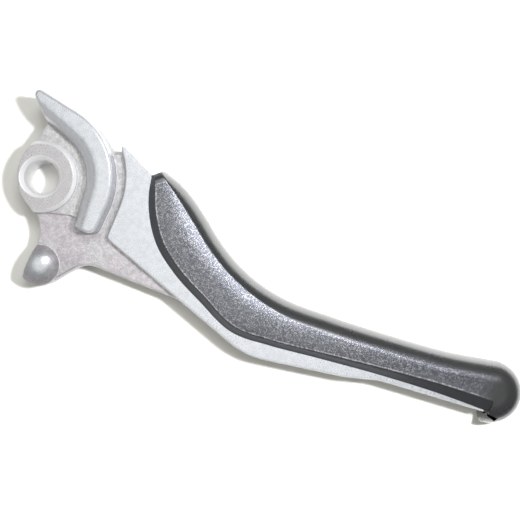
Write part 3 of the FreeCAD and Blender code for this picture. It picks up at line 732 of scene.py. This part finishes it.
def cover_mesh(look):
    """The cover as one closed surface.

    The outline is carried along the blade, each section upright at its finger point and turned to its
    heading. The half of the last section beyond the ball's axis then turns half a circle about that axis.
    One flat face closes the start and one the shoulder between the ball and the bar side.
    """
    rows = section_rows(look)
    length = np.sum(np.hypot(*np.diff(rows[:, :2], axis=0).T))
    start = np.linspace(0.0, look.tip, TIP_SECTIONS)
    run = np.concatenate([start, np.linspace(look.tip, length, BLADE_SECTIONS)[1:]])
    rows = curve_through(rows, run)
    inward, upward, face, under = cover_profile(look, rows, run)
    off_axis = np.abs(inward[-1] + look.ball_radius)
    poles = [part.start + int(np.argmin(off_axis[part])) for part in (face, under)]
    inward[-1, poles] = -look.ball_radius
    finger_x, finger_y, _, heading, *_ = np.hsplit(rows, rows.shape[1])
    turn = np.radians(heading)
    body = np.stack([finger_x + inward * np.cos(turn), finger_y + inward * np.sin(turn), upward], axis=2)
    margin, grain = face_values(look, run, inward, upward, face)

    half = np.arange(poles[0] + 1, poles[1])
    turns = look.ball_heading - np.linspace(0.0, np.pi, BALL_STEPS + 1)[1:, None]
    reach, level = inward[-1, half] + look.ball_radius, upward[-1, half]
    ball = np.stack([look.ball_x + reach * np.cos(turns), look.ball_y + reach * np.sin(turns),
                     level + 0 * turns], axis=2)
    place = np.arange(inward.size).reshape(inward.shape)
    on_ball = inward.size + np.arange(BALL_STEPS * len(half)).reshape(BALL_STEPS, -1)
    rings = np.vstack([place[-1, half], on_ball])

    mesh = bpy.data.meshes.new("grip_cover_surface")
    points = np.vstack([body.reshape(-1, 3), ball.reshape(-1, 3)])
    mesh.from_pydata(points, [], cover_faces(place, rings, poles))
    for name, value, ball_value in (("face_margin", margin, SIDE_MARGIN), ("face_grain", grain, 0.0)):
        values = np.concatenate([value.ravel(), np.full(on_ball.size, ball_value)])
        mesh.attributes.new(name, "FLOAT", "POINT").data.foreach_set("value", values.astype(np.float32))
    return mesh


# Points closer than this are one, and edges sharper than this stay sharp.
MERGE_DISTANCE = 0.002 * MM
SHARP_ANGLE = math.radians(32.0)


def tidy_mesh(mesh):
    """Merge doubles, turn the faces outwards, and shade smooth up to an angle."""
    work = bmesh.new()
    work.from_mesh(mesh)
    bmesh.ops.remove_doubles(work, verts=work.verts, dist=MERGE_DISTANCE)
    bmesh.ops.recalc_face_normals(work, faces=work.faces)
    work.to_mesh(mesh)
    work.free()
    mesh.shade_smooth()
    mesh.set_sharp_from_angle(angle=SHARP_ANGLE)
    mesh.validate()


def cut_window(mesh, look):
    """Cut the three-cornered window through the ball end's upper side and return the cut surface."""
    far_x, far_y = look.window_x + look.window_length, look.window_y - look.window_width
    corners = [(look.window_x, look.window_y), (far_x, far_y), (far_x, look.window_y)]
    levels = (look.slot_floor, 2 * look.face_level)
    points = [(x, y, level) for level in levels for x, y in corners]
    walls = [(0, 2, 1), (3, 4, 5), (0, 1, 4, 3), (1, 2, 5, 4), (2, 0, 3, 5)]
    cutter = bpy.data.meshes.new("window_cutter")
    cutter.from_pydata(points, [], walls)
    tool = bpy.data.objects.new("window_cutter", cutter)
    body = bpy.data.objects.new("uncut_cover", mesh)
    for item in (tool, body):
        bpy.context.scene.collection.objects.link(item)
    cut = body.modifiers.new("window", "BOOLEAN")
    cut.operation, cut.solver, cut.object = "DIFFERENCE", "EXACT", tool
    done = bpy.data.meshes.new_from_object(body.evaluated_get(bpy.context.evaluated_depsgraph_get()))
    bpy.data.objects.remove(body)
    bpy.data.objects.remove(tool)
    return done


def new_piece(name, mesh, material):
    """A piece of the lever in the scene, riding on its only body."""
    mesh.materials.clear()
    mesh.materials.append(material)
    piece = bpy.data.objects.new(name, mesh)
    bpy.context.scene.collection.objects.link(piece)
    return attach(piece, "root")


# Half the paper's side, the camera's sensor in millimetres and its nearest distance.
PAPER_HALF = 1.5
SENSOR_WIDTH = 36.0
CLIP_START = 10.0 * MM

# The room's window lies this far up for one to the left, and its light starts at this cosine from it.
WINDOW_RISE = 0.3
WINDOW_EDGE = 0.3


def paper_sheet(look):
    """A square sheet of paper at the lever's lowest level."""
    mesh = bpy.data.meshes.new("paper_sheet")
    signs = ((-1, -1), (1, -1), (1, 1), (-1, 1))
    corners = [(x * PAPER_HALF, y * PAPER_HALF, PAPER_LEVEL) for x, y in signs]
    mesh.from_pydata(corners, [], [(0, 1, 2, 3)])
    mesh.materials.append(paper_material(look))
    paper = bpy.data.objects.new("paper", mesh)
    bpy.context.scene.collection.objects.link(paper)
    return paper


def place_camera(look, lens):
    """A camera at the lens that looks straight down."""
    data = bpy.data.cameras.new("camera")
    data.sensor_width = SENSOR_WIDTH
    data.lens = SENSOR_WIDTH / 2 / math.tan(look.camera_field / 2)
    data.clip_start = CLIP_START
    camera = bpy.data.objects.new("camera", data)
    camera.location = lens
    camera.rotation_euler = (0.0, 0.0, look.camera_turn)
    bpy.context.scene.collection.objects.link(camera)
    return camera


def place_light(name, place, target, size, power, colour=(1.0, 1.0, 1.0)):
    """A round area light that faces the target."""
    data = bpy.data.lights.new(name, "AREA")
    data.color = colour
    data.shape = "DISK"
    data.size = size
    data.energy = power
    light = bpy.data.objects.new(name, data)
    light.location = place
    light.rotation_euler = (target - place).to_track_quat("-Z", "Y").to_euler()
    bpy.context.scene.collection.objects.link(light)
    return light


def room_world(look, window):
    """A warm grey room that is lighter towards its window."""
    world = bpy.data.worlds.new("room")
    world.use_nodes = True
    tree = world.node_tree
    way = add(tree, "ShaderNodeTexCoord").outputs["Generated"]
    facing = add(tree, "ShaderNodeVectorMath", {0: way, 1: window.normalized()}, operation="DOT_PRODUCT")
    strength = add(tree, "ShaderNodeMapRange", {"Value": facing.outputs["Value"], "From Min": WINDOW_EDGE,
                                                "To Min": look.room_dark, "To Max": look.room_light})
    background = tree.nodes["Background"].inputs
    background["Color"].default_value = look.box_colour
    tree.links.new(strength.outputs["Result"], background["Strength"])
    return world


class LEVER_OT_casting(bpy.types.Operator):
    """Finish the bare casting"""

    bl_idname = "lever.casting"
    bl_label = "Casting"

    def execute(self, context):
        """Give the frame's casting the cast metal."""
        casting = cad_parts["lever_casting"]
        casting.material_slots[0].material = casting_material(context.scene.lever_casting)
        return {"FINISHED"}


class LEVER_OT_cover(bpy.types.Operator):
    """Make the moulded grip cover"""

    bl_idname = "lever.cover"
    bl_label = "Grip cover"

    def execute(self, context):
        """Work out the cover's surface and give it the dark moulding."""
        look = context.scene.lever_cover
        mesh = cover_mesh(look)
        tidy_mesh(mesh)
        mesh = cut_window(mesh, look)
        tidy_mesh(mesh)
        piece = new_piece("cover", mesh, cover_material(look))
        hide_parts("grip_cover")
        return {"FINISHED"}


class LEVER_OT_stage(bpy.types.Operator):
    """Lay out the paper, the camera and the lights"""

    bl_idname = "lever.stage"
    bl_label = "Stage"

    def execute(self, context):
        """Look straight down, with a lamp beside the lens and a card and a soft box over the table.

        The lamp lights the paper and casts the shadows, and doesn't show in the metal.
        """
        scene, look = context.scene, context.scene.lever_stage
        paper = paper_sheet(look)

        right = Vector((math.cos(look.camera_turn), math.sin(look.camera_turn), 0.0))
        up = Vector((-right.y, right.x, 0.0))
        below = Vector((look.camera_x, look.camera_y, PAPER_LEVEL))
        lens = below + Vector((0.0, 0.0, look.camera_height))
        scene.camera = place_camera(look, lens)

        lamp = lens + right * look.lamp_right + up * look.lamp_up
        place_light("lamp", lamp, below, look.lamp_size, look.lamp_power).visible_glossy = False
        above = below + Vector((0.0, 0.0, look.soft_height))
        card = above + right * look.card_right + up * look.card_up
        place_light("card", card, below, look.card_size, look.card_power)
        box = above - right * look.box_left + up * look.box_up
        place_light("soft_box", box, below, look.box_size, look.box_power, look.box_colour[:3])
        scene.world = room_world(look, Vector((0.0, 0.0, WINDOW_RISE)) - right)
        scene.view_settings.view_transform = "Standard"
        return {"FINISHED"}


class LEVER_PT_panel(bpy.types.Panel):
    """Steps that make the lever"""

    bl_idname = "LEVER_PT_panel"
    bl_label = "Brake Lever"
    bl_space_type = "VIEW_3D"
    bl_region_type = "UI"
    bl_category = "Lever"

    def draw(self, context):
        """List the operators."""
        for step in STEPS:
            self.layout.operator(step.bl_idname)


STEPS = (LEVER_OT_casting, LEVER_OT_cover, LEVER_OT_stage)
CLASSES = (CastingSettings, CoverSettings, StageSettings, *STEPS, LEVER_PT_panel)
SETTINGS = {"lever_casting": CastingSettings, "lever_cover": CoverSettings, "lever_stage": StageSettings}


def register():
    """Register the classes and hang the settings on the scene."""
    for item in CLASSES:
        bpy.utils.register_class(item)
    for name, group in SETTINGS.items():
        setattr(bpy.types.Scene, name, PointerProperty(type=group))


def unregister():
    """Take the settings and the classes away again."""
    for name in SETTINGS:
        delattr(bpy.types.Scene, name)
    for item in reversed(CLASSES):
        bpy.utils.unregister_class(item)


def main():
    """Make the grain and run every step."""
    register()
    grain_group()
    bpy.ops.lever.casting()
    bpy.ops.lever.cover()
    bpy.ops.lever.stage()


if __name__ == "__main__":
    main()
